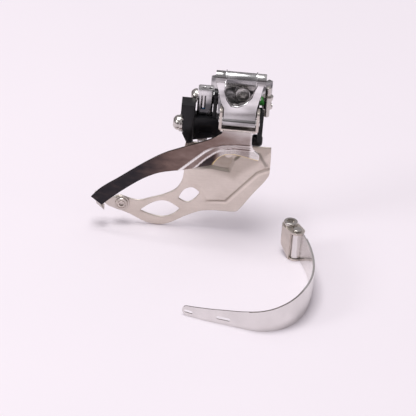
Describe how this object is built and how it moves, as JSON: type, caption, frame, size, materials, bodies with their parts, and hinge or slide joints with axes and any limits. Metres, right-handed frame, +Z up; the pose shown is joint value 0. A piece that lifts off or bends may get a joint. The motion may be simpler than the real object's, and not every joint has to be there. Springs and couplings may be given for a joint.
{
  "type": "front derailleur",
  "caption": "Bicycle front derailleur for a seat tube clamp: parallelogram links swing a two-plate chain cage outboard; its clamp strap is detached.",
  "frame": {"origin": "on the seat tube's axis, at the height of the clamp screw", "axes": "+X forward, +Y inboard (towards the bicycle's left side), +Z up along the seat tube"},
  "size_m": [0.1243, 0.1287, 0.1045],
  "materials": {
    "polished_alloy": "polished forging",
    "black_alloy": "black anodised",
    "dark_polished_sheet": "mirror polished sheet",
    "satin_sheet": "satin nickel sheet",
    "screw_steel": "bright plated steel",
    "pin_steel": "ground steel",
    "spring_steel": "drawn wire",
    "strap_steel": "bright stainless strip"
  },
  "bodies": {
    "housing": {"clamp_saddle": "polished_alloy", "housing": "polished_alloy", "upper_pivot_pin": "pin_steel", "pivot_washers": "pin_steel", "inner_pivot_pin": "pin_steel", "mount_screw": "screw_steel"},
    "low_limit_screw": {"low_limit_screw": "pin_steel"},
    "high_limit_screw": {"high_limit_screw": "pin_steel"},
    "clamp_bolt": {"clamp_bolt": "screw_steel"},
    "anchor_bar": {"anchor_bar": "screw_steel"},
    "outer_link": {"outer_link": "polished_alloy"},
    "cable_arm": {"cable_arm": "black_alloy", "cable_anchor_washer": "screw_steel", "return_spring": "spring_steel"},
    "cable_anchor_bolt": {"cable_anchor_bolt": "screw_steel"},
    "cage": {"cage_bracket": "satin_sheet", "outer_cage_plate": "dark_polished_sheet", "inner_cage_plate": "satin_sheet", "cage_rivets": "screw_steel", "tail_screw": "screw_steel", "tail_nut": "screw_steel", "lower_pivot_pin": "pin_steel", "cage_pivot_pin": "pin_steel"},
    "strap": {"strap_band": "strap_steel", "strap_doubler": "strap_steel", "strap_hinge_pin": "screw_steel"},
    "strap_hook": {"strap_hook": "strap_steel", "hook_barrel": "strap_steel"},
    "strap_screw": {"strap_screw": "screw_steel"}
  },
  "joints": [
    {"name": "link_swing", "type": "hinge", "parent": "housing", "child": "outer_link", "pos_m": [0, -0.044, 0.0236], "axis": [-1, 0, 0], "range_deg": [0, 30], "stiffness_Nm_per_rad": 0.25, "springref_deg": -34.38},
    {"name": "arm_swing", "type": "hinge", "parent": "housing", "child": "cable_arm", "pos_m": [0, -0.031, 0.0055], "axis": [-1, 0, 0], "range_deg": [0, 30]},
    {"name": "cage_level", "type": "hinge", "parent": "outer_link", "child": "cage", "pos_m": [0, -0.04302, -0.00318], "axis": [-1, 0, 0], "range_deg": [-30, 0]},
    {"name": "clamp_bolt_turn", "type": "hinge", "parent": "housing", "child": "clamp_bolt", "pos_m": [0, -0.024, 0], "axis": [1, 0, 0], "range_deg": [0, 900]},
    {"name": "anchor_bar_draw", "type": "slide", "parent": "housing", "child": "anchor_bar", "axis": [-1, 0, 0], "range_m": [0, 0.002]},
    {"name": "low_limit_turn", "type": "hinge", "parent": "housing", "child": "low_limit_screw", "pos_m": [-0.0201, -0.0296, 0], "axis": [0, 0, 1], "range_deg": [-720, 720]},
    {"name": "high_limit_turn", "type": "hinge", "parent": "housing", "child": "high_limit_screw", "pos_m": [-0.0167, -0.0296, 0], "axis": [0, 0, 1], "range_deg": [-720, 720]},
    {"name": "cable_bolt_turn", "type": "hinge", "parent": "cable_arm", "child": "cable_anchor_bolt", "pos_m": [-0.032, -0.0326, -0.0129], "axis": [1, 0, 0], "range_deg": [-720, 720]},
    {"name": "strap_lift", "type": "slide", "parent": "housing", "child": "strap", "axis": [0, 0, 1], "range_m": [0, 0.04]},
    {"name": "hook_swing", "type": "hinge", "parent": "strap", "child": "strap_hook", "pos_m": [0.0369, -0.0581, -0.068], "axis": [0, 0, 1], "range_deg": [-40, 60]},
    {"name": "strap_screw_turn", "type": "hinge", "parent": "strap_hook", "child": "strap_screw", "pos_m": [0.0331, -0.052, -0.068], "axis": [0, 0, 1], "range_deg": [-720, 720]}
  ],
  "couplings": [
    {"joint": "arm_swing", "follows": "link_swing", "ratio": 1},
    {"joint": "cage_level", "follows": "link_swing", "ratio": -1},
    {"joint": "clamp_bolt_turn", "follows": "anchor_bar_draw", "rad_per_m": 7853.9}
  ]
}
